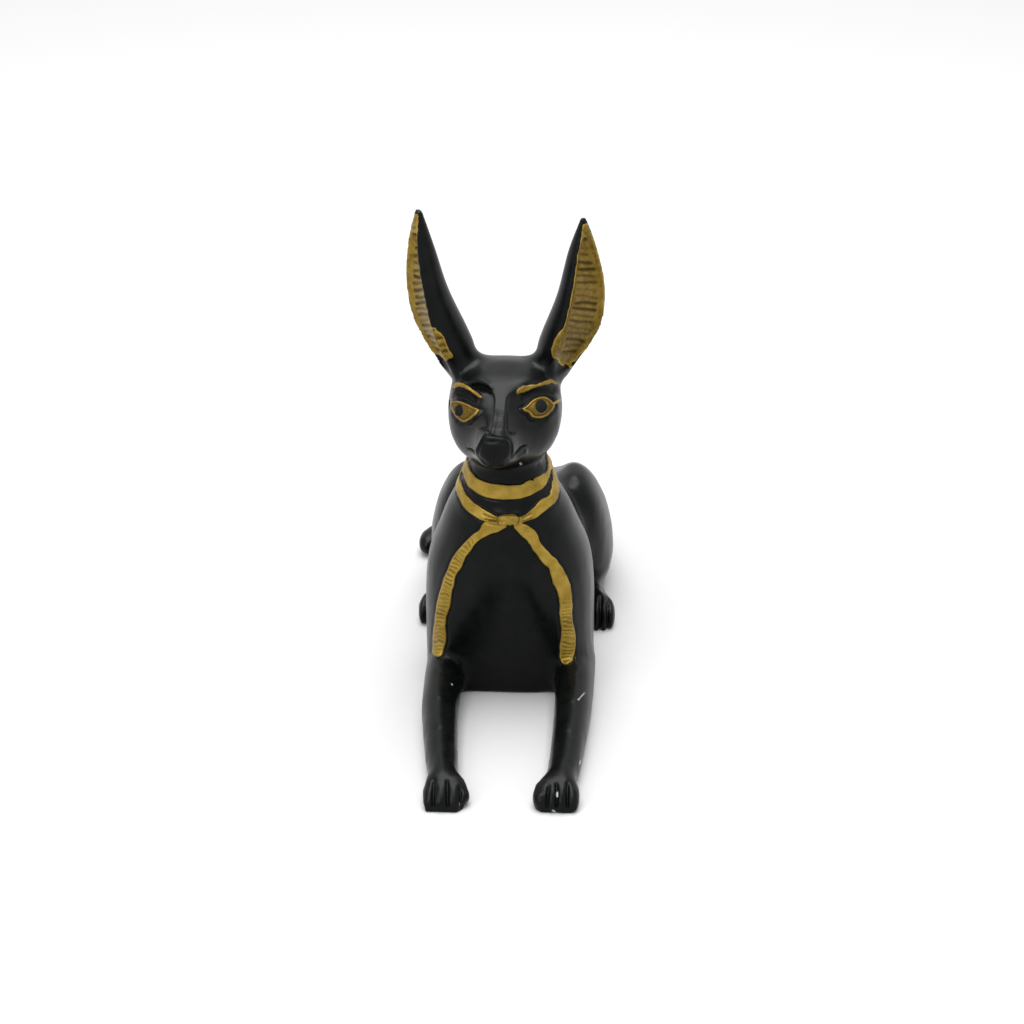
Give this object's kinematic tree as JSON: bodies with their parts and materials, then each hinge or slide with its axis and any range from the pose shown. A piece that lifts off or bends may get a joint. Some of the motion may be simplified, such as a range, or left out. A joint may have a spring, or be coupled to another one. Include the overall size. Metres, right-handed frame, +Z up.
{
  "type": "anubis jackal figure",
  "caption": "Recumbent jackal figure with tall ribbed ears, a collar and a knotted ribbon, cast in one piece in black resin with gold painted detail; stands flat on its underside.",
  "frame": {"origin": "on the ground under the middle of the figure's box", "axes": "+Z up, the jackal faces -Y, +X is its left side"},
  "size_m": [0.0458, 0.1424, 0.1004],
  "materials": {
    "black_paint": "brushed semi-gloss black paint over cast resin",
    "gold_paint": "hand-painted antique gold, satin"
  },
  "bodies": {
    "root": {"jackal_figure": "black_paint"}
  },
  "joints": []
}
